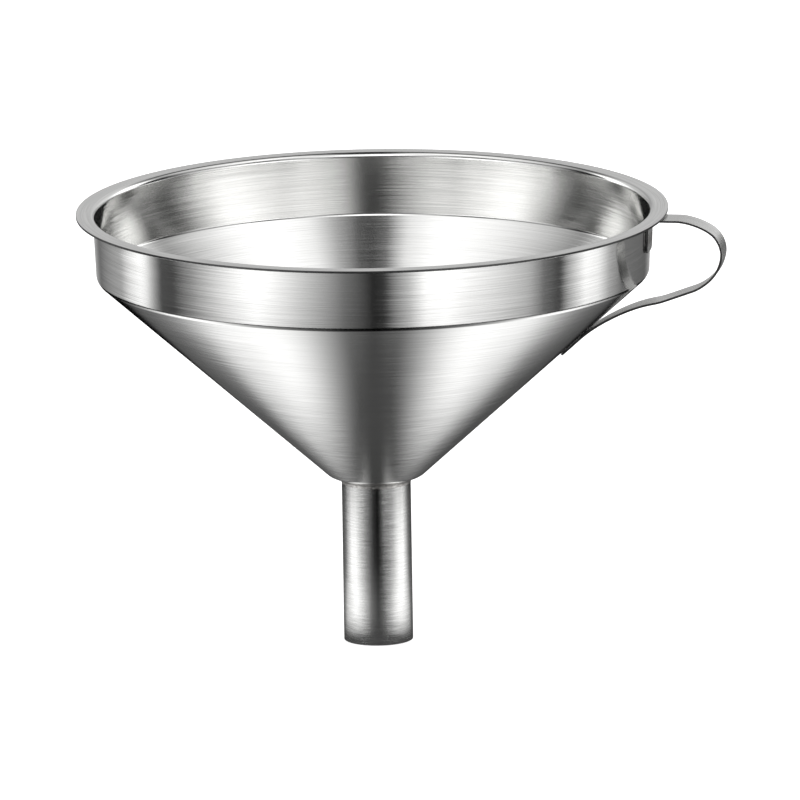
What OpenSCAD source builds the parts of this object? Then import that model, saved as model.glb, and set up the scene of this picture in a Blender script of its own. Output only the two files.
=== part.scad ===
// Kitchen funnel made of thin steel sheet.
//
// One pressed bowl (flat rim, straight collar, cone), a spout tube that stands
// in a hole at the bottom of the cone and is welded round, and a bent strap
// handle that is spot welded to the collar and to the cone.
//
// Millimetres. +Z runs up the funnel's axis. The origin is the centre of the
// spout's outlet. The handle points along +X.

/* [Bowl] */
// Outside diameter of the flat rim
rim_d = 130; // [120:1:140]
// How far the flat rim stands out past the collar
rim_overhang = 3.7; // [3:0.1:5]
// Height of the collar, from its crease to the top of the rim
collar_h = 14.1; // [13:0.1:18]
// Lean of the collar, so that pressed bowls come off the die
collar_draft = 2.5; // [1:0.5:4]
// Angle between the cone and the funnel's axis
cone_angle = 48; // [46:1:50]
// Thickness of the sheet
sheet = 0.5; // [0.4:0.1:0.6]

/* [Neck] */
// Radius where the cone turns flatter into the lip round the hole
neck_r = 10.3; // [9.5:0.1:12]
// Slope of the lip, from level
lip_angle = 17; // [10:1:25]

/* [Spout] */
// Outside diameter of the spout tube
spout_d = 15.2; // [13:0.2:16]
// Wall thickness of the spout tube
spout_wall = 0.5; // [0.4:0.1:1]
// Height of the underside of the lip above the spout's outlet
spout_drop = 36.2; // [25:0.1:60]

/* [Handle] */
// Width of the strap
strap_w = 7; // [6:0.5:10]
// Thickness of the strap
strap_t = 0.5; // [0.4:0.1:0.6]
// How far the loop stands out past the rim
handle_stand = 13; // [12:0.5:17]
// Length of the tab that lies on the collar
upper_tab = 7.3; // [6:0.1:9]
// Radius at which the tab on the cone ends
lower_tab_r = 41.9; // [38:0.1:43]
// Radius of the strap's end corners, seen from outside
tab_corner_r = 1.2; // [0.5:0.1:2]

/* [Welds] */
// Leg of the weld bead between the lip and the spout
bead_leg = 0.9; // [0.6:0.1:1.2]
// Diameter of a spot weld
spot_d = 2.4; // [1.5:0.1:2.6]
// Distance between the centres of the two spot welds on a tab
spot_pitch = 3.4; // [3:0.1:3.6]

/* [Hidden] */

$fn = 128;
ARC_STEPS = 10;

steel = [0.74, 0.74, 0.73];
weld_steel = [0.6, 0.59, 0.57];

// Inside radii of the bends in the bowl and the strap.
rim_bend_r = 0.7;
crease_bend_r = 0.8;
neck_bend_r = 2.5;
strap_bend_r = 0.7;

// Gap that is left between a flat tab and the round bowl along the tab's
// middle, and the dimple of a spot weld.
tab_gap = 0.02;
spot_dimple = 0.05;
// Gap between the strap and the underside of the rim.
strap_gap = 0.2;
// How much narrower the tube's end is, in radius, where it stands in the
// bowl's hole and under the weld.
seat_step = 0.2;

spout_r = spout_d / 2;
seat_r = spout_r - seat_step;
cone_rise = 1 / tan(cone_angle);
draft_run = tan(collar_draft);

// Radii and heights of the corners of the bowl's outer face.
collar_top_r = rim_d / 2 - rim_overhang;
crease_r = collar_top_r - (collar_h - sheet) * draft_run;
neck_z = spout_drop + (neck_r - spout_r) * tan(lip_angle);
crease_z = neck_z + (crease_r - neck_r) * cone_rise;
rim_z = crease_z + collar_h;

// ---- Bent strips ---------------------------------------------------------

// A bent strip follows a path of [across, up, bend radius] corners.
function flat(p) = [p[0], p[1]];
function heading(p, q) = (flat(q) - flat(p)) / norm(flat(q) - flat(p));
function left_of(h) = [-h[1], h[0]];
function turned(v, a) = [v[0] * cos(a) - v[1] * sin(a), v[0] * sin(a) + v[1] * cos(a)];
function turn_between(a, b) = atan2(a[0] * b[1] - a[1] * b[0], a * b);

// Points round corner q on the face that lies `off` to the left of the path.
function bend_points(p, q, s, off) =
    let (
        a = heading(p, q),
        turn = turn_between(a, heading(q, s)),
        side = sign(turn),
        start = flat(q) - a * q[2] * tan(abs(turn) / 2),
        centre = start + left_of(a) * side * q[2],
        spoke = left_of(a) * (off - side * q[2])
    )
    [for (i = [0:ARC_STEPS]) centre + turned(spoke, turn * i / ARC_STEPS)];

// One face of the strip, from the path's first point to its last.
function face_points(path, off) =
    let (last = len(path) - 1)
    [for (i = [0:last]) each
        i == 0 ? [flat(path[0]) + left_of(heading(path[0], path[1])) * off] :
        i == last ? [flat(path[last]) + left_of(heading(path[last - 1], path[last])) * off] :
        bend_points(path[i - 1], path[i], path[i + 1], off)];

function reversed(list) = [for (i = [len(list) - 1:-1:0]) list[i]];

// The strip's section between two offsets from its path.
module strip_section(path, off_a, off_b) {
    polygon(concat(face_points(path, off_a), reversed(face_points(path, off_b))));
}

// ---- Bowl ----------------------------------------------------------------

// Path of the bowl's outer face. Its last point is inside the hole, which is
// cut to the tube afterwards.
bowl_path = [
    [rim_d / 2, rim_z - sheet],
    [collar_top_r, rim_z - sheet, rim_bend_r],
    [crease_r, crease_z, crease_bend_r + sheet],
    [neck_r, neck_z, neck_bend_r + sheet],
    [spout_r - 1, spout_drop - tan(lip_angle)],
];

module funnel_bowl() {
    color(steel)
    difference() {
        rotate_extrude() strip_section(bowl_path, 0, -sheet);
        cylinder(h = neck_z, r = seat_r);
    }
}

// The collar and the cone as solid bodies, which the spot welds grow from.
module bowl_seat() {
    translate([0, 0, crease_z])
    cylinder(h = collar_h - sheet, r1 = crease_r, r2 = collar_top_r, $fn = 720);
    translate([0, 0, neck_z])
    cylinder(h = crease_z - neck_z, r1 = neck_r, r2 = crease_r, $fn = 720);
}

// ---- Spout ---------------------------------------------------------------

// The tube ends level with the inside of the lip, so that nothing is trapped.
module spout_tube() {
    tube_h = spout_drop + sheet;
    color(steel)
    difference() {
        union() {
            cylinder(h = spout_drop - bead_leg, r = spout_r);
            cylinder(h = tube_h, r = seat_r);
        }
        translate([0, 0, -1]) cylinder(h = tube_h + 2, r = spout_r - spout_wall);
    }
}

// Hollow fillet of weld metal in the corner between the tube and the lip.
module spout_weld() {
    bead_low = [spout_r, spout_drop - bead_leg];
    bead_out = [spout_r + bead_leg, spout_drop + bead_leg * tan(lip_angle)];
    bead_mid = [spout_r + bead_leg / 4, spout_drop - bead_leg / 4];
    color(weld_steel)
    rotate_extrude()
    polygon(concat(
        [[seat_r, spout_drop - seat_step * tan(lip_angle)], [seat_r, bead_low[1]]],
        [for (u = [0:0.125:1]) pow(1 - u, 2) * bead_low + 2 * u * (1 - u) * bead_mid + pow(u, 2) * bead_out]
    ));
}

// ---- Handle --------------------------------------------------------------

// The strap's path runs through the middle of its thickness.
half_t = strap_t / 2;
strap_bend_mid_r = strap_bend_r + half_t;
collar_off = (half_t + tab_gap) / cos(collar_draft);
cone_off = (half_t + tab_gap) / cos(cone_angle);

function collar_x(z) = crease_r + (z - crease_z) * draft_run + collar_off;
function cone_x(z) = crease_r + (z - crease_z) / cone_rise + cone_off;
function cone_z(x) = crease_z + (x - crease_r - cone_off) * cone_rise;

top_z = rim_z - sheet - strap_gap - half_t;
outer_x = rim_d / 2 + handle_stand - half_t;

// Corners of the loop, measured from its outside and down from the rim.
loop_top = [outer_x - 5.75, top_z, 12.5];
loop_shoulder = [outer_x, rim_z - 5.3, 5.5];
loop_hip = [outer_x, rim_z - 11, 7.5];
loop_low = [outer_x - 4, rim_z - 15.6, 10];
leg_dip = [outer_x - 13.75, rim_z - 19.1, 15];

// The last stretch of the leg falls at this slope until it meets the cone.
leg_slope = tan(12);
knee_x = (cone_x(leg_dip[1] - leg_slope * leg_dip[0])) / (1 - leg_slope / cone_rise);
knee = [knee_x, cone_z(knee_x), 33];

strap_path = [
    [collar_x(top_z - upper_tab), top_z - upper_tab],
    [collar_x(top_z), top_z, strap_bend_mid_r],
    loop_top,
    loop_shoulder,
    loop_hip,
    loop_low,
    leg_dip,
    knee,
    [lower_tab_r, cone_z(lower_tab_r)],
];

// Puts its children on the collar or the cone, with X out of the sheet, Z up
// the tab and the origin in the middle of the strap's thickness.
module on_collar(z) {
    translate([collar_x(z), 0, z]) rotate([0, collar_draft, 0]) children();
}

module on_cone(x) {
    translate([x, 0, cone_z(x)]) rotate([0, cone_angle, 0]) children();
}

// What is cut off to round the two corners at the lower end of a tab. The
// round's first and last facets run on past the strap's faces.
module corner_waste() {
    centre = [strap_w / 2 - tab_corner_r, tab_corner_r];
    arc = [for (i = [0:6]) centre + tab_corner_r * [cos(15 * i), -sin(15 * i)]];
    run_in = 2 * arc[0] - arc[1];
    run_out = 2 * arc[6] - arc[5];
    round = concat([run_in], [for (i = [1:5]) arc[i]], [run_out]);
    outside = [[run_out[0], -1], [strap_w / 2 + 1, -1], [strap_w / 2 + 1, run_in[1]]];
    for (side = [0, 1])
    mirror([0, side, 0])
    rotate([90, 0, 90])
    linear_extrude(height = 4, center = true)
    polygon(concat(round, outside));
}

upper_spot_z = top_z - upper_tab * 0.6;
lower_spot_x = lower_tab_r + 2.6;

// Two round plugs across a tab, from behind the sheet to the given height
// above the middle of the strap.
module spot_pair(top) {
    for (side = [-1, 1])
    translate([-2, side * spot_pitch / 2, 0])
    rotate([0, 90, 0]) cylinder(h = top + 2, d = spot_d);
}

module handle_strap() {
    color(steel)
    difference() {
        rotate([90, 0, 0])
        linear_extrude(height = strap_w, center = true)
        strip_section(strap_path, -half_t, half_t);
        on_collar(top_z - upper_tab) corner_waste();
        on_cone(lower_tab_r) corner_waste();
        on_collar(upper_spot_z) spot_pair(2);
        on_cone(lower_spot_x) spot_pair(2);
    }
}

module upper_spot_welds() {
    color(weld_steel)
    difference() {
        on_collar(upper_spot_z) spot_pair(half_t - spot_dimple);
        bowl_seat();
    }
}

module lower_spot_welds() {
    color(weld_steel)
    difference() {
        on_cone(lower_spot_x) spot_pair(half_t - spot_dimple);
        bowl_seat();
    }
}

funnel_bowl();
spout_tube();
spout_weld();
handle_strap();
upper_spot_welds();
lower_spot_welds();
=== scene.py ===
# %% [markdown]
# # A sheet steel kitchen funnel
#
# The funnel is four pieces of stainless steel and the weld metal that joins
# them: a pressed bowl, a spout tube, a bent strap handle, a bead of weld under
# the bowl and two pairs of spot welds on the strap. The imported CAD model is
# the fixed frame. Each piece here takes its place from it, replaces one of its
# nodes with a finished mesh, and gets a procedural material.

import math

import bmesh
import bpy
from mathutils import Matrix, Vector
from mathutils.bvhtree import BVHTree


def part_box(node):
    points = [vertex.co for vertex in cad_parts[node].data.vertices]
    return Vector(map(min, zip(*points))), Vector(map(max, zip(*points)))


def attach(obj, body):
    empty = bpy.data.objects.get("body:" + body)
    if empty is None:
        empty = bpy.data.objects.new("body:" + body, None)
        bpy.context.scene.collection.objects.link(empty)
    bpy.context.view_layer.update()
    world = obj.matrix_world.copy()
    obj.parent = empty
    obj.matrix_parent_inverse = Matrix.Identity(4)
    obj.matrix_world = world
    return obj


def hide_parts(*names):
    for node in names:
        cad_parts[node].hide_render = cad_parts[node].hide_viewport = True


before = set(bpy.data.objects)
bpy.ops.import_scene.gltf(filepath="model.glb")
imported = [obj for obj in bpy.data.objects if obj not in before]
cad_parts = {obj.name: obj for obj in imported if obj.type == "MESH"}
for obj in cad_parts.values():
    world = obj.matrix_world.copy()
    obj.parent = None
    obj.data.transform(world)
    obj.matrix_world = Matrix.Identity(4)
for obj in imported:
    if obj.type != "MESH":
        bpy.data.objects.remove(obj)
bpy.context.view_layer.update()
print("nodes:", ", ".join(sorted(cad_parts)))

# %% [markdown]
# ## Sizes
#
# The frame gives the places and the outer sizes: the rim's radius and height,
# the tube's radius, and the box of the strap. A box can't say where the sheet
# bends, so those few driving sizes are named here, in millimetres, as they are
# in the CAD. Everything else is worked out from them, and each finished piece
# is measured against the CAD node that it stands for.

# %% Driving sizes
MM = 0.001

bowl_low, bowl_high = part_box("funnel_bowl")
tube_low, tube_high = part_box("spout_tube")
strap_low, strap_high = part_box("handle_strap")

rim_r = bowl_high.y
rim_z = bowl_high.z
spout_r = tube_high.y
strap_w = strap_high.y - strap_low.y

sheet = 0.5 * MM
rim_overhang = 3.7 * MM
collar_h = 14.1 * MM
collar_draft = math.radians(2.5)
cone_angle = math.radians(48)
neck_r = 10.3 * MM
lip_angle = math.radians(17)
seat_step = 0.2 * MM
bead_leg = 0.9 * MM
strap_t = 0.5 * MM

collar_top_r = rim_r - rim_overhang
crease_r = collar_top_r - (collar_h - sheet) * math.tan(collar_draft)
crease_z = rim_z - collar_h
cone_rise = 1 / math.tan(cone_angle)
neck_z = crease_z - (crease_r - neck_r) * cone_rise
hole_r = spout_r - seat_step
lip_z = tube_high.z - sheet
print(f"rim {2 * rim_r / MM:.1f} mm across, {rim_z / MM:.1f} mm up; spout {2 * spout_r / MM:.1f} mm")

# %% [markdown]
# ## The grain of brushed steel
#
# The bowl and the tube are brushed while they turn, so fine scratches run
# round them. Two things show this. Across the scratches a reflection smears
# into tall bands, which the shader's anisotropy gives. Along them each bundle
# of scratches leans a little its own way, so the edge of a band breaks up
# into fine streaks. The group below makes the streaks: noise that is
# stretched round the axis, read at a point's direction from the axis and at
# its height, tips the normal round the axis by `Swing` and up or down by
# `Lean`. It is built once and used by every turned finish.

# %% Node helpers
def add_node(tree, kind, inputs=None, **settings):
    """A node with its settings, and its inputs as values or as other sockets."""
    node = tree.nodes.new(kind)
    for name, value in settings.items():
        setattr(node, name, value)
    for name, value in (inputs or {}).items():
        if isinstance(value, bpy.types.NodeSocket):
            tree.links.new(value, node.inputs[name])
        else:
            node.inputs[name].default_value = value
    return node


def number(tree, operation, *values):
    """The result of a sum on numbers."""
    return add_node(tree, "ShaderNodeMath", dict(enumerate(values)), operation=operation).outputs[0]


def vector(tree, operation, *values):
    """The result of a sum on vectors."""
    node = add_node(tree, "ShaderNodeVectorMath", dict(enumerate(values)), operation=operation)
    return node.outputs["Value" if operation in ("LENGTH", "DOT_PRODUCT") else "Vector"]


def stretched(tree, direction, factor):
    """A vector times a number."""
    node = add_node(tree, "ShaderNodeVectorMath", {0: direction, "Scale": factor}, operation="SCALE")
    return node.outputs["Vector"]


def noise(tree, place, detail, roughness):
    """Noise between 0 and 1, read at a place."""
    settings = {"Vector": place, "Scale": 1, "Detail": detail, "Roughness": roughness}
    return add_node(tree, "ShaderNodeTexNoise", settings).outputs["Fac"]


def signed(tree, value):
    """Noise shifted to run from -1 to 1."""
    return number(tree, "MULTIPLY_ADD", value, 2, -1)


def new_group(name, inputs, outputs):
    """An empty node group with named number inputs and named outputs."""
    group = bpy.data.node_groups.new(name, "ShaderNodeTree")
    for label, value in inputs.items():
        socket = group.interface.new_socket(label, in_out="INPUT", socket_type="NodeSocketFloat")
        socket.default_value = value
    for label, kind in outputs.items():
        group.interface.new_socket(label, in_out="OUTPUT", socket_type=kind)
    return group, add_node(group, "NodeGroupInput").outputs, add_node(group, "NodeGroupOutput").inputs


# %% Turned grain
turned_grain, given, results = new_group(
    "turned_grain",
    {"Line width": 0.3 * MM, "Strokes": 6, "Swing": 0.06, "Lean": 0.03},
    {"Normal": "NodeSocketVector", "Lines": "NodeSocketFloat"},
)
place = add_node(turned_grain, "ShaderNodeTexCoord").outputs["Object"]
level_place = vector(turned_grain, "MULTIPLY", place, (1, 1, 0))
radius = vector(turned_grain, "LENGTH", level_place)
height = vector(turned_grain, "DOT_PRODUCT", place, (0, 0, 1))
run = number(turned_grain, "DIVIDE", number(turned_grain, "ADD", height, radius), given["Line width"])
outward = vector(turned_grain, "NORMALIZE", level_place)
wound = vector(
    turned_grain,
    "ADD",
    stretched(turned_grain, outward, given["Strokes"]),
    add_node(turned_grain, "ShaderNodeCombineXYZ", {"Z": run}).outputs[0],
)
fine = noise(turned_grain, wound, 2, 0.6)
broad = noise(turned_grain, vector(turned_grain, "MULTIPLY", wound, (0.6, 0.6, 0.4)), 1, 0.5)
lines = number(turned_grain, "MULTIPLY_ADD", broad, 0.25, number(turned_grain, "MULTIPLY", fine, 0.75))

# %% The grain's normal
surface = add_node(turned_grain, "ShaderNodeNewGeometry").outputs["Normal"]
round_way = vector(turned_grain, "NORMALIZE", vector(turned_grain, "CROSS_PRODUCT", (0, 0, 1), outward))
uphill = vector(turned_grain, "CROSS_PRODUCT", surface, round_way)
swing = number(turned_grain, "MULTIPLY", signed(turned_grain, lines), given["Swing"])
lean = number(turned_grain, "MULTIPLY", signed(turned_grain, fine), given["Lean"])
tipped = vector(turned_grain, "ADD", surface, stretched(turned_grain, round_way, swing))
tipped = vector(turned_grain, "ADD", tipped, stretched(turned_grain, uphill, lean))
turned_grain.links.new(vector(turned_grain, "NORMALIZE", tipped), results["Normal"])
turned_grain.links.new(lines, results["Lines"])
print("turned_grain:", len(turned_grain.nodes), "nodes")

# %% [markdown]
# ## The steel finishes
#
# All of it is the same stainless steel: fully metallic, a light grey with a
# trace of warmth. The finishes differ in how they were brushed. Anisotropy is
# set on the shader itself, with a tangent that runs round the axis and a
# quarter turn of rotation, so the smear stands across the scratches. The
# lines vary the colour and the roughness by a little, because a deeper
# scratch holds more shade. The colours and the roughness are judged.

# %% Turned steel
DARK_LINE = (0.68, 0.68, 0.67, 1)
BRIGHT_LINE = (0.96, 0.96, 0.95, 1)
FAINTEST_LINE, DEEPEST_LINE = 0.3, 0.7


def steel_shader(name, roughness, anisotropy):
    """A material with a metal shader. Gives the material and the shader."""
    steel = bpy.data.materials.new(name)
    steel.use_nodes = True
    shader = steel.node_tree.nodes["Principled BSDF"]
    shader.inputs["Metallic"].default_value = 1
    shader.inputs["Roughness"].default_value = roughness
    shader.inputs["Anisotropic"].default_value = anisotropy
    shader.inputs["Anisotropic Rotation"].default_value = 0.25
    return steel, shader


def shade_lines(tree, shader, lines, roughness, dark=DARK_LINE, bright=BRIGHT_LINE):
    """Lets the scratches vary the colour and the roughness."""
    span = {"Value": lines, "From Min": FAINTEST_LINE, "From Max": DEEPEST_LINE}
    strength = add_node(tree, "ShaderNodeMapRange", span)
    colour = add_node(tree, "ShaderNodeMix", data_type="RGBA")
    tree.links.new(strength.outputs["Result"], colour.inputs["Factor"])
    colour.inputs["A"].default_value = dark
    colour.inputs["B"].default_value = bright
    tree.links.new(colour.outputs["Result"], shader.inputs["Base Color"])
    spread = {
        "Value": lines,
        "From Min": FAINTEST_LINE,
        "From Max": DEEPEST_LINE,
        "To Min": roughness * 0.85,
        "To Max": roughness * 1.15,
    }
    rough = add_node(tree, "ShaderNodeMapRange", spread)
    tree.links.new(rough.outputs["Result"], shader.inputs["Roughness"])


def turned_steel(name, roughness, grain_values):
    """Steel that was brushed while it turned."""
    steel, shader = steel_shader(name, roughness, 1.0)
    tree = steel.node_tree
    tangent = add_node(tree, "ShaderNodeTangent", direction_type="RADIAL", axis="Z")
    tree.links.new(tangent.outputs[0], shader.inputs["Tangent"])
    grain = add_node(tree, "ShaderNodeGroup", node_tree=turned_grain)
    for label, value in grain_values.items():
        grain.inputs[label].default_value = value
    tree.links.new(grain.outputs["Normal"], shader.inputs["Normal"])
    shade_lines(tree, shader, grain.outputs["Lines"], roughness)
    return steel


sheet_grain = {"Line width": 0.2 * MM, "Strokes": 3, "Swing": 0.025, "Lean": 0.02}
tube_grain = {"Line width": 0.2 * MM, "Strokes": 2, "Swing": 0.02, "Lean": 0.02}
outside_finish = turned_steel("outside_finish", 0.13, sheet_grain)
inside_finish = turned_steel("inside_finish", 0.11, sheet_grain)
tube_finish = turned_steel("tube_finish", 0.13, tube_grain)

# %% [markdown]
# ## The strip's finish
#
# The handle's strip was brushed lengthwise before it was bent, so its lines
# must follow the bends. They are read from the strip's own UV map, where one
# direction is the distance along the strip, and a Bump node gives them a
# trace of depth. The sheared edge of the strip and of the rim was never
# brushed, so it is rough and torn. Its near-black colour is painted shade:
# it stands in for the shade that these thin edges lie in.

# %% Strip grain
MAP_UNIT = 100 * MM

strip_grain, given, results = new_group(
    "strip_grain", {"Line length": 0.1, "Line width": 0.002}, {"Lines": "NodeSocketFloat"}
)
strip_place = add_node(strip_grain, "ShaderNodeUVMap", uv_map="strip").outputs[0]
scale = add_node(strip_grain, "ShaderNodeCombineXYZ", {"X": given["Line length"], "Y": given["Line width"]})
strip_lines = noise(strip_grain, vector(strip_grain, "DIVIDE", strip_place, scale.outputs[0]), 2, 0.6)
strip_grain.links.new(strip_lines, results["Lines"])

# %% Strip steel
strip_finish, shader = steel_shader("strip_finish", 0.2, 0.8)
tree = strip_finish.node_tree
tangent = add_node(tree, "ShaderNodeTangent", direction_type="UV_MAP", uv_map="strip")
tree.links.new(tangent.outputs[0], shader.inputs["Tangent"])
grain = add_node(tree, "ShaderNodeGroup", node_tree=strip_grain)
grain.inputs["Line length"].default_value = 12 * MM / MAP_UNIT
grain.inputs["Line width"].default_value = 0.25 * MM / MAP_UNIT
bump = add_node(
    tree, "ShaderNodeBump", {"Height": grain.outputs["Lines"], "Strength": 0.25, "Distance": 0.03 * MM}
)
tree.links.new(bump.outputs[0], shader.inputs["Normal"])
shade_lines(tree, shader, grain.outputs["Lines"], 0.2)

# %% Sheared edge
cut_edge_painted_shade, shader = steel_shader("cut_edge_painted_shade", 0.4, 0.0)
tree = cut_edge_painted_shade.node_tree
edge_place = add_node(tree, "ShaderNodeTexCoord").outputs["Object"]
torn = noise(tree, stretched(tree, edge_place, 1 / (0.4 * MM)), 2, 0.6)
# The near-black tones are painted shade on the cut edges, which are rough steel besides.
tones = {"Value": torn, "To Min": 0.02, "To Max": 0.16}
tree.links.new(add_node(tree, "ShaderNodeMapRange", tones).outputs["Result"], shader.inputs["Base Color"])

# %% [markdown]
# ## Weld metal
#
# A weld cools in small overlapping puddles, so its surface is duller than the
# sheet and softly rippled. Low, rounded noise in a Bump node gives the
# ripples, and the same noise makes the hollows darker and rougher. The weld's
# colours are set far darker than the sheet's as painted shade: it stands for
# the shade on the weld at the neck under the bowl, and the spot welds get the
# same dark tones.

# %% Weld metal
weld_and_painted_shade, shader = steel_shader("weld_and_painted_shade", 0.35, 0.0)
tree = weld_and_painted_shade.node_tree
puddle_place = add_node(tree, "ShaderNodeTexCoord").outputs["Object"]
puddles = noise(tree, stretched(tree, puddle_place, 1 / (0.7 * MM)), 2, 0.5)
bump = add_node(tree, "ShaderNodeBump", {"Height": puddles, "Strength": 0.6, "Distance": 0.12 * MM})
tree.links.new(bump.outputs[0], shader.inputs["Normal"])
# Dark weld colours: painted shade for the neck under the bowl.
shade_lines(tree, shader, puddles, 0.35, (0.3, 0.29, 0.28, 1), (0.62, 0.61, 0.59, 1))

# %% [markdown]
# ## Bending wire, and turning it into sheet
#
# A press tool, a lathe and a pair of pliers all start from a section with
# rounded corners. The helpers below do the same: `wire` lays straight edges
# through a few corner points in the XZ plane, and `round_corner` bevels one
# corner into an arc of a given radius. A bevel is asked for as a distance
# along the edges, which is the radius times the tangent of half the turn.
# `turn_on_lathe` spins the wire a full turn, which is how spun and drawn
# sheet metal really gets its shape.

# %% Helpers for sections
RADIAL_STEPS = 256
BEND_SEGMENTS = 10


def wire(bm, corners):
    """Edges through the corners, given as (x, z), in the XZ plane."""
    verts = [bm.verts.new((x, 0, z)) for x, z in corners]
    for a, b in zip(verts, verts[1:]):
        bm.edges.new((a, b))
    return verts


def round_corner(bm, corner, radius, segments=BEND_SEGMENTS):
    """Turns the corner of a wire into an arc."""
    ahead, behind = [(edge.other_vert(corner).co - corner.co).normalized() for edge in corner.link_edges]
    turn = math.pi - ahead.angle(behind)
    bmesh.ops.bevel(
        bm,
        geom=[corner],
        offset=radius * math.tan(turn / 2),
        offset_type="OFFSET",
        affect="VERTICES",
        segments=segments,
        profile=0.5,
        material=-1,
    )


def split_long_edges(bm, longest):
    """Adds points to the straight stretches, so that the faces stay near square."""
    for edge in list(bm.edges):
        cuts = math.ceil(edge.calc_length() / longest) - 1
        if cuts > 0:
            bmesh.ops.subdivide_edges(bm, edges=[edge], cuts=cuts)


def turn_on_lathe(bm, steps=RADIAL_STEPS):
    """Spins the wire a full turn round Z."""
    geom = bm.verts[:] + bm.edges[:]
    bmesh.ops.spin(bm, geom=geom, axis=(0, 0, 1), cent=(0, 0, 0), steps=steps, angle=math.tau, use_merge=True)
    bmesh.ops.remove_doubles(bm, verts=bm.verts, dist=0.001 * MM)
    bmesh.ops.recalc_face_normals(bm, faces=bm.faces)


# %% [markdown]
# ## Finishing a piece
#
# Thin sheet is modelled as one face and then given its thickness, because
# that keeps the two faces parallel through every bend. The Solidify modifier
# does that, a small Bevel takes the razor edge off the cut rims, and Weighted
# Normal keeps the straight stretches flat in the light. The three are then
# made part of the mesh: the steel's grain is read from the finished mesh.
# `stand_for` measures the piece against the CAD node that it replaces.

# %% Helpers for finished pieces
SHARPEST_BEND = math.radians(40)


def finish_piece(name, bm, *finishes):
    """Makes the mesh a smooth-shaded object, with its place in its mesh."""
    mesh = bpy.data.meshes.new(name)
    bm.to_mesh(mesh)
    bm.free()
    mesh.shade_smooth()
    mesh.set_sharp_from_angle(angle=SHARPEST_BEND)
    for finish in finishes:
        mesh.materials.append(finish)
    piece = bpy.data.objects.new(name, mesh)
    bpy.context.scene.collection.objects.link(piece)
    return piece


def give_thickness(piece, thickness, offset, edge_width, back_slot=0, edge_slot=0):
    """Makes sheet of a surface: both faces, a soft edge and flat shading."""
    wall = piece.modifiers.new("sheet", "SOLIDIFY")
    wall.thickness = thickness
    wall.offset = offset
    wall.use_even_offset = True
    wall.material_offset = back_slot
    wall.material_offset_rim = edge_slot
    edge = piece.modifiers.new("edge", "BEVEL")
    edge.width = edge_width
    edge.segments = 3
    edge.limit_method = "ANGLE"
    edge.angle_limit = math.radians(50)
    piece.modifiers.new("flat faces", "WEIGHTED_NORMAL")
    graph = bpy.context.evaluated_depsgraph_get()
    made = bpy.data.meshes.new_from_object(
        piece.evaluated_get(graph), preserve_all_data_layers=True, depsgraph=graph
    )
    piece.modifiers.clear()
    piece.data = made


def stand_for(piece, node):
    """Puts a finished piece in the place of a CAD node."""
    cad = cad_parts[node].data
    tree = BVHTree.FromPolygons([v.co for v in cad.vertices], [p.vertices for p in cad.polygons])
    gap = max(tree.find_nearest(v.co)[3] for v in piece.data.vertices)
    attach(piece, "root")
    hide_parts(node)
    print(f"{piece.name}: {len(piece.data.polygons)} faces, at most {gap / MM:.3f} mm from the CAD")


# %% [markdown]
# ## The bowl
#
# The bowl is drawn from one disc of 0.5 mm sheet: a flat rim that hangs out
# over a short, nearly upright collar, a steep cone, and at the bottom a
# shallow dish with the hole for the spout. Its section is the same all round,
# so a wire of the outer face is rounded at the three bends and turned once on
# the lathe, and the thickness grows inwards from there. The wire's own face
# ends up inside, so the finishes are listed as inside, outside and cut edge.
# `seat_step` is the step where the tube stands in the hole. It is hidden and
# is a guess, so it says nothing about a real tube.

# %% Bowl section
bowl_bm = bmesh.new()
bowl_wire = wire(
    bowl_bm,
    [
        (rim_r, rim_z - sheet),
        (collar_top_r, rim_z - sheet),
        (crease_r, crease_z),
        (neck_r, neck_z),
        (hole_r, lip_z - seat_step * math.tan(lip_angle)),
    ],
)
rim_bend, crease_bend, neck_bend = 0.7 * MM, 1.3 * MM, 3.0 * MM
for corner, radius in zip(bowl_wire[1:4], (rim_bend, crease_bend, neck_bend)):
    round_corner(bowl_bm, corner, radius)
split_long_edges(bowl_bm, 3 * MM)
print("bowl section:", len(bowl_bm.verts), "points")

# %% Bowl
turn_on_lathe(bowl_bm)
bowl = finish_piece("bowl", bowl_bm, inside_finish, outside_finish, cut_edge_painted_shade)
give_thickness(bowl, sheet, 1, 0.08 * MM, back_slot=1, edge_slot=2)
stand_for(bowl, "funnel_bowl")

# %% [markdown]
# ## The spout
#
# The spout is a plain length of tube, cut square and lightly deburred. Its top
# is a little narrower where it stands in the bowl's hole. A closed section of
# the wall is turned on the lathe, so both ends and the bore are real.

# %% Spout
tube_bm = bmesh.new()
bore_r = spout_r - 0.5 * MM
seat_z = lip_z - bead_leg
tube_wire = wire(
    tube_bm,
    [
        (spout_r, 0),
        (spout_r, seat_z),
        (hole_r, seat_z),
        (hole_r, tube_high.z),
        (bore_r, tube_high.z),
        (bore_r, 0),
    ],
)
tube_bm.edges.new((tube_wire[-1], tube_wire[0]))
for corner in (tube_wire[0], tube_wire[5]):
    round_corner(tube_bm, corner, 0.15 * MM, 4)
split_long_edges(tube_bm, 3 * MM)
turn_on_lathe(tube_bm)
spout = finish_piece("spout", tube_bm, tube_finish)
stand_for(spout, "spout_tube")

# %% [markdown]
# ## The weld under the bowl
#
# A thin bead of weld metal fills the corner between the tube and the dish
# round it. Its section is a corner with a hollow face, so the same wire and
# lathe make it. The ripples that a weld leaves are too small for geometry and
# come later, in its finish.

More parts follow.
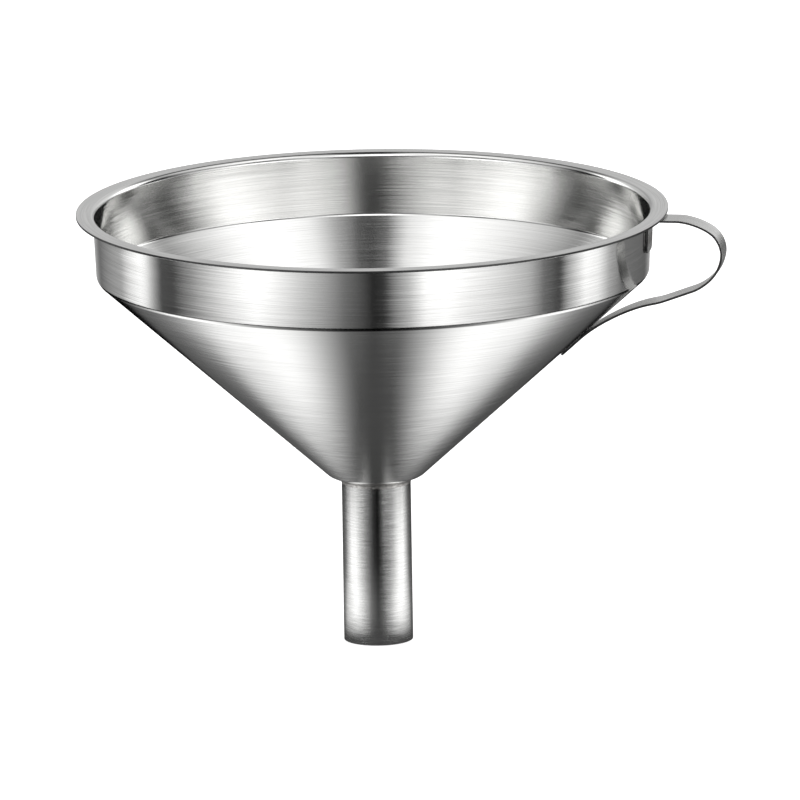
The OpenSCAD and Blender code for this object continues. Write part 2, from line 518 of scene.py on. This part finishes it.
# %% Weld bead
bead_bm = bmesh.new()
lip_rise = math.tan(lip_angle)
bead_wire = wire(
    bead_bm,
    [
        (hole_r, lip_z - seat_step * lip_rise),
        (hole_r, seat_z),
        (spout_r, seat_z),
        (spout_r + bead_leg / 4, lip_z - bead_leg / 4),
        (spout_r + bead_leg, lip_z + bead_leg * lip_rise),
    ],
)
bead_bm.edges.new((bead_wire[-1], bead_wire[0]))
round_corner(bead_bm, bead_wire[3], 0.9 * MM)
turn_on_lathe(bead_bm)
bead = finish_piece("neck_weld", bead_bm, weld_and_painted_shade)
stand_for(bead, "spout_weld")

# %% [markdown]
# ## The handle
#
# The handle is one strip of steel, bent round formers: a short tab down the
# collar, a flat run out under the rim, a round loop, and a leg that falls
# back to the cone and ends in a second tab. The strip's middle line is a wire
# with a bend at each corner. It is extruded across to the strip's width, its
# end corners are rounded with a vertex bevel, and it gets its thickness on
# both sides. Each point keeps its distance along the strip, which becomes the
# strip's UV map, so that the grain can follow the bends later.

# %% Where the strip runs
half_t = strap_t / 2
tab_gap = 0.02 * MM
collar_off = (half_t + tab_gap) / math.cos(collar_draft)
cone_off = (half_t + tab_gap) / math.cos(cone_angle)


def collar_x(z):
    """How far out the strip's middle lies when it is against the collar."""
    return crease_r + (z - crease_z) * math.tan(collar_draft) + collar_off


def cone_z(x):
    """How high the strip's middle lies when it is against the cone."""
    return crease_z + (x - crease_r - cone_off) * cone_rise


top_z = rim_z - sheet - 0.2 * MM - half_t
tab_foot_z = top_z - 7.3 * MM
outer_x = strap_high.x - half_t
leg_dip = (outer_x - 13.75 * MM, rim_z - 19.1 * MM)
leg_slope = math.tan(math.radians(12))
level_x = crease_r + cone_off + (leg_dip[1] - leg_slope * leg_dip[0] - crease_z) / cone_rise
knee_x = level_x / (1 - leg_slope / cone_rise)
lower_tab_x = 41.9 * MM
print(f"the leg meets the cone {knee_x / MM:.1f} mm from the middle")

# %% The strip's middle line
strap_corners = [
    (collar_x(tab_foot_z), tab_foot_z),
    (collar_x(top_z), top_z),
    (outer_x - 5.75 * MM, top_z),
    (outer_x, rim_z - 5.3 * MM),
    (outer_x, rim_z - 11 * MM),
    (outer_x - 4 * MM, rim_z - 15.6 * MM),
    leg_dip,
    (knee_x, cone_z(knee_x)),
    (lower_tab_x, cone_z(lower_tab_x)),
]
strap_bends = [0.95, 12.5, 5.5, 7.5, 10, 15, 33]
strap_bm = bmesh.new()
strap_wire = wire(strap_bm, strap_corners)
for corner, radius in zip(strap_wire[1:-1], strap_bends):
    round_corner(strap_bm, corner, radius * MM)
split_long_edges(strap_bm, 2 * MM)

# %% Distance along the strip
along = strap_bm.verts.layers.float.new("along")
tab_ends = [v for v in strap_bm.verts if len(v.link_edges) == 1]
point = max(tab_ends, key=lambda v: v.co.z)
walked = set()
strip_length = 0.0
while point:
    onward = [edge for edge in point.link_edges if edge not in walked]
    if not onward:
        break
    walked.add(onward[0])
    strip_length += onward[0].calc_length()
    point = onward[0].other_vert(point)
    point[along] = strip_length
print(f"the handle is bent from a strip {strip_length / MM:.0f} mm long")

# %% Handle
bmesh.ops.translate(strap_bm, verts=strap_bm.verts, vec=(0, -strap_w / 2, 0))
swept = bmesh.ops.extrude_edge_only(strap_bm, edges=strap_bm.edges[:])
swept_verts = [item for item in swept["geom"] if isinstance(item, bmesh.types.BMVert)]
bmesh.ops.translate(strap_bm, verts=swept_verts, vec=(0, strap_w, 0))
tab_corners = [v for v in strap_bm.verts if len(v.link_edges) == 2]
bmesh.ops.bevel(
    strap_bm,
    geom=tab_corners,
    offset=1.2 * MM,
    offset_type="OFFSET",
    affect="VERTICES",
    segments=8,
    profile=0.5,
    material=-1,
)
bmesh.ops.recalc_face_normals(strap_bm, faces=strap_bm.faces)
strip_map = strap_bm.loops.layers.uv.new("strip")
for face in strap_bm.faces:
    for loop in face.loops:
        loop[strip_map].uv = (loop.vert[along] / MAP_UNIT, loop.vert.co.y / MAP_UNIT + 0.5)
strap = finish_piece("strap", strap_bm, strip_finish, cut_edge_painted_shade)
give_thickness(strap, strap_t, 0, 0.06 * MM, edge_slot=1)
stand_for(strap, "handle_strap")

# %% [markdown]
# ## The spot welds
#
# Each tab is held by two spot welds. The electrode leaves a small round dish
# in the strip with a ring of squeezed metal round it. One such button is
# turned on the lathe, copied across the strip, and then leant to stand square
# on its tab.

# %% Spot welds
SPOT_R = 1.2 * MM
SPOT_PITCH = 3.4 * MM


def spot_pair(name, foot, lean, node):
    """Two weld buttons, at foot in the XZ plane, facing out and down by lean."""
    bm = bmesh.new()
    buttons = wire(
        bm,
        [
            (0, -0.3 * MM),
            (SPOT_R, -0.3 * MM),
            (SPOT_R, 0.01 * MM),
            (SPOT_R * 0.9, 0.05 * MM),
            (SPOT_R * 0.72, 0.01 * MM),
            (0, 0.005 * MM),
        ],
    )
    for corner in buttons[3:5]:
        round_corner(bm, corner, 0.12 * MM, 3)
    turn_on_lathe(bm, steps=48)
    square = Matrix.Rotation(math.pi / 2 + lean, 4, "Y")
    bmesh.ops.transform(bm, matrix=square, verts=bm.verts)
    bmesh.ops.translate(bm, verts=bm.verts, vec=(foot[0], -SPOT_PITCH / 2, foot[1]))
    copy = bmesh.ops.duplicate(bm, geom=bm.verts[:] + bm.edges[:] + bm.faces[:])
    copied = [item for item in copy["geom"] if isinstance(item, bmesh.types.BMVert)]
    bmesh.ops.translate(bm, verts=copied, vec=(0, SPOT_PITCH, 0))
    piece = finish_piece(name, bm, weld_and_painted_shade)
    stand_for(piece, node)
    return piece


def on_face(x, z, lean):
    """The point of the strip's outer face beside its middle at x, z."""
    return (x + half_t * math.cos(lean), z - half_t * math.sin(lean))


upper_spot_z = top_z - 7.3 * MM * 0.6
lower_spot_x = lower_tab_x + 2.6 * MM
upper_foot = on_face(collar_x(upper_spot_z), upper_spot_z, collar_draft)
lower_foot = on_face(lower_spot_x, cone_z(lower_spot_x), cone_angle)
upper_spots = spot_pair("upper_spots", upper_foot, collar_draft, "upper_spot_welds")
lower_spots = spot_pair("lower_spots", lower_foot, cone_angle, "lower_spot_welds")

# %% [markdown]
# ## The camera
#
# The camera stands well back with a long lens, a little to the right of the
# funnel's front and a little above it, and is rolled by less than a degree.
# A long lens keeps the rim's ellipse even at the front and the back.

# %% Camera
azimuth, elevation, roll = math.radians(9), math.radians(12.4), math.radians(0.9)
across = Vector((math.cos(azimuth), math.sin(azimuth), 0))
towards = Vector((math.sin(azimuth), -math.cos(azimuth), 0))
back = towards * math.cos(elevation) + Vector((0, 0, math.sin(elevation)))
aim = across * 5.5 * MM + Vector((0, 0, 53.6 * MM))
camera = bpy.data.objects.new("camera", bpy.data.cameras.new("camera"))
camera.data.lens = 1024
camera.data.clip_end = 50
turn = (-back).to_track_quat("-Z", "Y").to_matrix().to_4x4()
camera.matrix_world = Matrix.Translation(aim + back * 5) @ turn @ Matrix.Rotation(-roll, 4, "Z")
bpy.context.scene.collection.objects.link(camera)
bpy.context.scene.camera = camera
bpy.context.scene.view_settings.view_transform = "Standard"

# %% [markdown]
# ## The floor
#
# The funnel stands on a wide, plain, almost white floor. The floor gives off
# a little light of its own, so that it stays even right up to the background,
# and it is clear from below. The steel mirrors the light tent instead of it.

# %% Floor
floor_bm = bmesh.new()
bmesh.ops.create_circle(floor_bm, cap_ends=True, segments=96, radius=8)
bmesh.ops.translate(floor_bm, verts=floor_bm.verts, vec=(0, 0, -0.2 * MM))

# %% Floor finish
pale = bpy.data.materials.new("pale_floor")
pale.use_nodes = True
tree = pale.node_tree
shader = tree.nodes["Principled BSDF"]
shader.inputs["Base Color"].default_value = (0.9, 0.9, 0.9, 1)
shader.inputs["Roughness"].default_value = 1
shader.inputs["Specular IOR Level"].default_value = 0
shader.inputs["Emission Color"].default_value = (1, 1, 1, 1)
shader.inputs["Emission Strength"].default_value = 0.85
below = add_node(tree, "ShaderNodeNewGeometry").outputs["Backfacing"]
clear = add_node(tree, "ShaderNodeBsdfTransparent").outputs[0]
either = add_node(tree, "ShaderNodeMixShader", {0: below, 1: shader.outputs[0], 2: clear})
tree.links.new(either.outputs[0], tree.nodes["Material Output"].inputs["Surface"])
floor = finish_piece("floor", floor_bm, pale)
floor.visible_glossy = False

# %% [markdown]
# ## The light
#
# Polished steel looks like what stands round it, so a metal product is lit in
# a tent of white cloth with dark strips between the panels. A strip gives the
# steel its dark bands, and a panel its bright ones. The tent here is the
# world's background, seen by every ray but the camera's own. Brightness
# follows the compass direction, measured from the camera's side with the
# right positive. The lower half of the tent lights the outside of the collar,
# the upper half the inside, and the roof the inside of the cone. All of the
# tones are set for the main view, and some steps between them are
# steep, so this is not a plain soft light. Seen from straight behind and
# above, the outside of the collar mirrors a dark part of the tent and is
# nearly black. `shoulder` dims the walls where they meet the roof on the
# camera's side.

# %% Helpers for the light
def bands(tree, value, stops, low, high):
    """Brightness that follows value through (place, brightness) stops."""
    span = {"Value": value, "From Min": low, "From Max": high}
    place = add_node(tree, "ShaderNodeMapRange", span).outputs["Result"]
    ramp = add_node(tree, "ShaderNodeValToRGB", {0: place})
    elements = ramp.color_ramp.elements
    elements.remove(elements[-1])
    for n, (at, brightness) in enumerate(stops):
        position = (at - low) / (high - low)
        element = elements[0] if n == 0 else elements.new(position)
        element.position = position
        element.color = (brightness, brightness, brightness, 1)
    return ramp.outputs["Color"]


def fade(tree, value, low, high):
    """A soft step from 0 to 1."""
    span = {"Value": value, "From Min": low, "From Max": high}
    return add_node(tree, "ShaderNodeMapRange", span, interpolation_type="SMOOTHSTEP").outputs["Result"]


def blend(tree, factor, first, second):
    """A mix of two colours."""
    node = add_node(tree, "ShaderNodeMix", data_type="RGBA")
    for label, value in (("Factor", factor), ("A", first), ("B", second)):
        tree.links.new(value, node.inputs[label])
    return node.outputs["Result"]


def compass(tree, side, front):
    """Degrees from the camera's side, with the right positive."""
    return number(tree, "MULTIPLY", number(tree, "ARCTAN2", side, front), 180 / math.pi)


# %% Panels and strips
LOWER_TENT = [
    (-180, 0.6), (-158, 0.15), (-130, 0.45), (-122, 1.0), (-114, 1.4), (-110, 1.25), (-105, 0.55),
    (-100, 0.1), (-92, 0.08), (-82, 0.38), (-74, 0.72), (-60, 1.4), (-50, 1.8), (-42, 1.5), (-30, 0.95),
    (-12, 0.25), (0, 0.03), (5, 0.06), (15, 0.8), (22, 1.7), (30, 1.9), (40, 1.5), (68, 0.65),
    (76, 0.2), (85, 0.05), (89, 0.5), (100, 1.45), (108, 1.25), (117, 0.5), (128, 0.2), (158, 0.12),
    (180, 0.6),
]
UPPER_TENT = [
    (-180, 0.55), (-165, 0.4), (-150, 0.6), (-140, 0.8), (-126, 2.0), (-119, 1.6), (-114, 0.1), (-105, 0.01),
    (-98, 0.05), (-90, 0.3), (-70, 0.9), (-55, 1.6), (-40, 1.6), (-30, 1.2), (-20, 0.4), (-12, 0.08),
    (0, 0.01), (6, 0.03), (15, 0.15), (25, 0.7), (35, 1.3), (50, 1.7), (60, 1.5), (75, 0.9),
    (90, 0.25), (100, 0.04), (112, 0.01), (117, 1.2), (126, 2.0), (145, 0.8), (160, 0.7), (180, 0.55),
]
ROOF = [
    (-1, 0.3), (-0.8, 0.3), (-0.6, 1.0), (-0.3, 1.4), (-0.15, 0.95), (-0.06, 0.12), (0, 0.02), (0.06, 0.06),
    (0.15, 0.45), (0.25, 1.1), (0.42, 1.5), (0.6, 1.2), (0.8, 0.3), (1, 0.3),
]
ROOF_FRONT = [
    (-1, 0.01), (-0.6, 0.01), (-0.4, 0.6), (-0.25, 1.1), (-0.1, 1.7), (0.1, 1.7), (0.25, 1.1), (0.4, 0.6),
    (0.6, 0.01), (1, 0.01),
]

# %% Tent
world = bpy.data.worlds.new("tent")
bpy.context.scene.world = world
world.use_nodes = True
tree = world.node_tree
tree.nodes.clear()
ray = add_node(tree, "ShaderNodeTexCoord").outputs["Generated"]
side = vector(tree, "DOT_PRODUCT", ray, across)
front = vector(tree, "DOT_PRODUCT", ray, towards)
up = vector(tree, "DOT_PRODUCT", ray, (0, 0, 1))
around = compass(tree, side, front)
lower = bands(tree, around, LOWER_TENT, -180, 180)
upper = bands(tree, around, UPPER_TENT, -180, 180)
roof_back = stretched(tree, bands(tree, side, ROOF, -1, 1), fade(tree, front, -0.8, 0.0))
roof = blend(tree, fade(tree, front, 0.2, 0.4), roof_back, bands(tree, side, ROOF_FRONT, -1, 1))
walls = blend(tree, fade(tree, up, 0.03, 0.13), lower, upper)
shoulder = number(tree, "MULTIPLY", fade(tree, up, 0.52, 0.4), fade(tree, front, -0.1, 0.2))
shoulder = number(tree, "ADD", shoulder, fade(tree, front, 0.2, -0.1))
tent = blend(tree, fade(tree, up, 0.45, 0.65), stretched(tree, walls, shoulder), roof)

# %% White behind the funnel
lit = add_node(tree, "ShaderNodeBackground", {"Color": tent})
white = add_node(tree, "ShaderNodeBackground", {"Color": (1, 1, 1, 1)})
from_camera = add_node(tree, "ShaderNodeLightPath").outputs["Is Camera Ray"]
seen = add_node(tree, "ShaderNodeMixShader", {0: from_camera, 1: lit.outputs[0], 2: white.outputs[0]})
tree.links.new(seen.outputs[0], add_node(tree, "ShaderNodeOutputWorld").inputs["Surface"])
print("the tent has", len(LOWER_TENT), "and", len(UPPER_TENT), "stops round its walls")

# %% [markdown]
# ## The mat
#
# The cone and the spout look down at the table close by, not at the tent. A
# mat lies there for them alone, seen only in reflections: two bright wedges
# to the left and the right, and dark in front and behind. It is dark right
# under the spout, and dark again in a wide ring that begins 140 to 190 mm
# out. These tones are set for the main view too. They stand in for
# light and shade on a table, and are not worked out from the tent's light.

# %% Mat
NEAR_MAT = [
    (-180, 0.1), (-146, 0.14), (-129, 0.32), (-118, 0.65), (-108, 0.85), (-91, 1.15), (-79, 1.35),
    (-67, 1.35),
    (-54, 1.1), (-37, 0.6), (-20, 0.2), (0, 0.08), (20, 0.18), (37, 0.55), (54, 1.1), (67, 1.35),
    (79, 1.35), (91, 1.15), (108, 0.8), (118, 0.5), (129, 0.2), (146, 0.1), (180, 0.1),
]
FAR_MAT = [
    (-180, 0.08), (-146, 0.1), (-130, 0.16), (-120, 0.3), (-107, 0.75), (-92, 1.4), (-75, 1.4), (-65, 1.05),
    (-52, 0.55), (-37, 0.2), (-25, 0.08), (-12, 0.01), (0, 0), (12, 0.01), (25, 0.08), (37, 0.2),
    (52, 0.5), (65, 1.0), (75, 1.35), (92, 1.4), (107, 0.75), (120, 0.3), (130, 0.15), (146, 0.08),
    (180, 0.08),
]
mat_bm = bmesh.new()
bmesh.ops.create_circle(mat_bm, cap_ends=True, segments=96, radius=340 * MM)
bmesh.ops.translate(mat_bm, verts=mat_bm.verts, vec=(0, 0, -0.1 * MM))

# %% Mat finish
glow = bpy.data.materials.new("mat_glow")
glow.use_nodes = True
tree = glow.node_tree
tree.nodes.clear()
place = add_node(tree, "ShaderNodeTexCoord").outputs["Object"]
side = vector(tree, "DOT_PRODUCT", place, across)
front = vector(tree, "DOT_PRODUCT", place, towards)
bearing = compass(tree, side, front)
reach = vector(tree, "LENGTH", place)
near = stretched(tree, bands(tree, bearing, NEAR_MAT, -180, 180), fade(tree, reach, 5 * MM, 42 * MM))
near = vector(tree, "MAXIMUM", near, (0.07, 0.07, 0.07))
far = bands(tree, bearing, FAR_MAT, -180, 180)
wedges = blend(tree, fade(tree, reach, 50 * MM, 80 * MM), near, far)
ringed = stretched(tree, wedges, fade(tree, reach, 190 * MM, 140 * MM))
light = add_node(tree, "ShaderNodeEmission", {"Color": ringed}).outputs[0]
clear = add_node(tree, "ShaderNodeBsdfTransparent").outputs[0]
edge = fade(tree, reach, 280 * MM, 330 * MM)
soft = add_node(tree, "ShaderNodeMixShader", {0: edge, 1: light, 2: clear}).outputs[0]
tree.links.new(soft, add_node(tree, "ShaderNodeOutputMaterial").inputs["Surface"])
mat = finish_piece("mat", mat_bm, glow)
mat.visible_camera = mat.visible_diffuse = mat.visible_shadow = False
